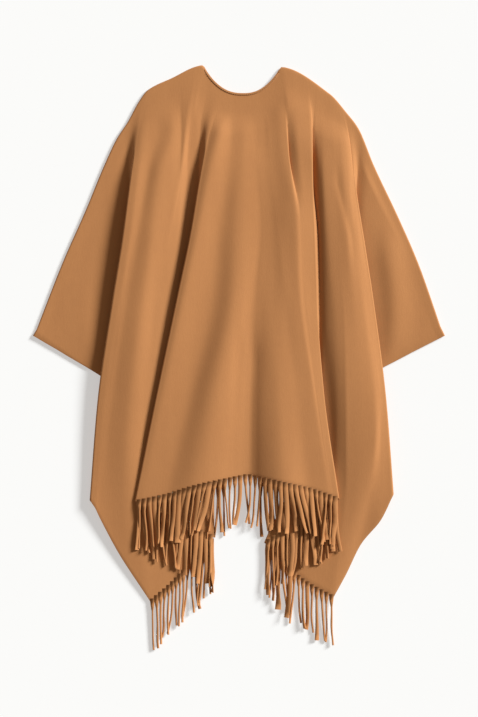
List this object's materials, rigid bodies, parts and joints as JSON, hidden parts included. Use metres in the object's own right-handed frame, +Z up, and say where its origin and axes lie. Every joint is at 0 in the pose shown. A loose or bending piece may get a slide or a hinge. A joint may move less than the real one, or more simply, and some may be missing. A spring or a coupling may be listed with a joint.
{
  "type": "fringed poncho",
  "caption": "Felted-wool poncho laid flat with its back up: a wide cape open down the front, in deep folds from neck and shoulders, with cut fringe along its hems.",
  "frame": {"origin": "on the surface that the poncho lies on, under the middle of its outline", "axes": "+Y towards the neck, +X to the right of the back as seen from above, +Z up from the surface"},
  "size_m": [0.8045, 1.1446, 0.037],
  "materials": {
    "cloth": "felted camel-brown wool, matt with a short nap",
    "binding": "turned and stitched edge of the same wool",
    "fringe": "flat cut strands of the same wool"
  },
  "bodies": {
    "root": {"back": "cloth", "front_left": "cloth", "front_right": "cloth", "neck_binding": "binding", "fringe_back": "fringe", "fringe_front_left": "fringe", "fringe_front_right": "fringe"}
  },
  "joints": []
}
